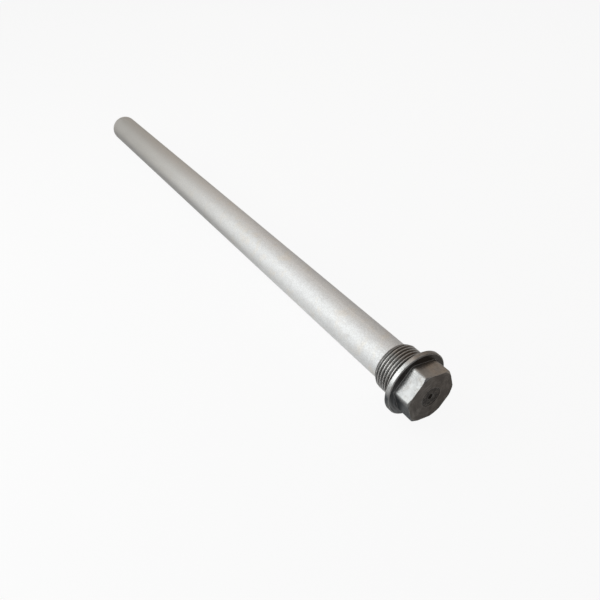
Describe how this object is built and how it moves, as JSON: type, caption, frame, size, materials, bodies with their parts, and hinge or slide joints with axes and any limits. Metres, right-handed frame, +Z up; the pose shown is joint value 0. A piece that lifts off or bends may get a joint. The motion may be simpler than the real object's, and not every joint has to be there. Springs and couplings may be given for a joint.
{
  "type": "water heater anode rod",
  "caption": "Round sacrificial magnesium rod on a hexagonal steel screw plug with a flange and an outside pipe thread, lying on its side.",
  "frame": {"origin": "centre of the bounding box on the ground, under the rod lying on its side", "axes": "+X towards the hexagonal head, -X towards the rod's tip, +Z up; the rod's axis drops by 1.0063 degrees towards the tip, because it lies on the flange's rim and the tip's edge"},
  "size_m": [0.4132, 0.036, 0.036],
  "materials": {
    "plug_steel": "satin, turned",
    "magnesium": "matte satin",
    "core_steel": "matte"
  },
  "bodies": {
    "root": {"hex_plug": "plug_steel", "anode_bar": "magnesium", "core_rod": "core_steel"}
  },
  "joints": []
}
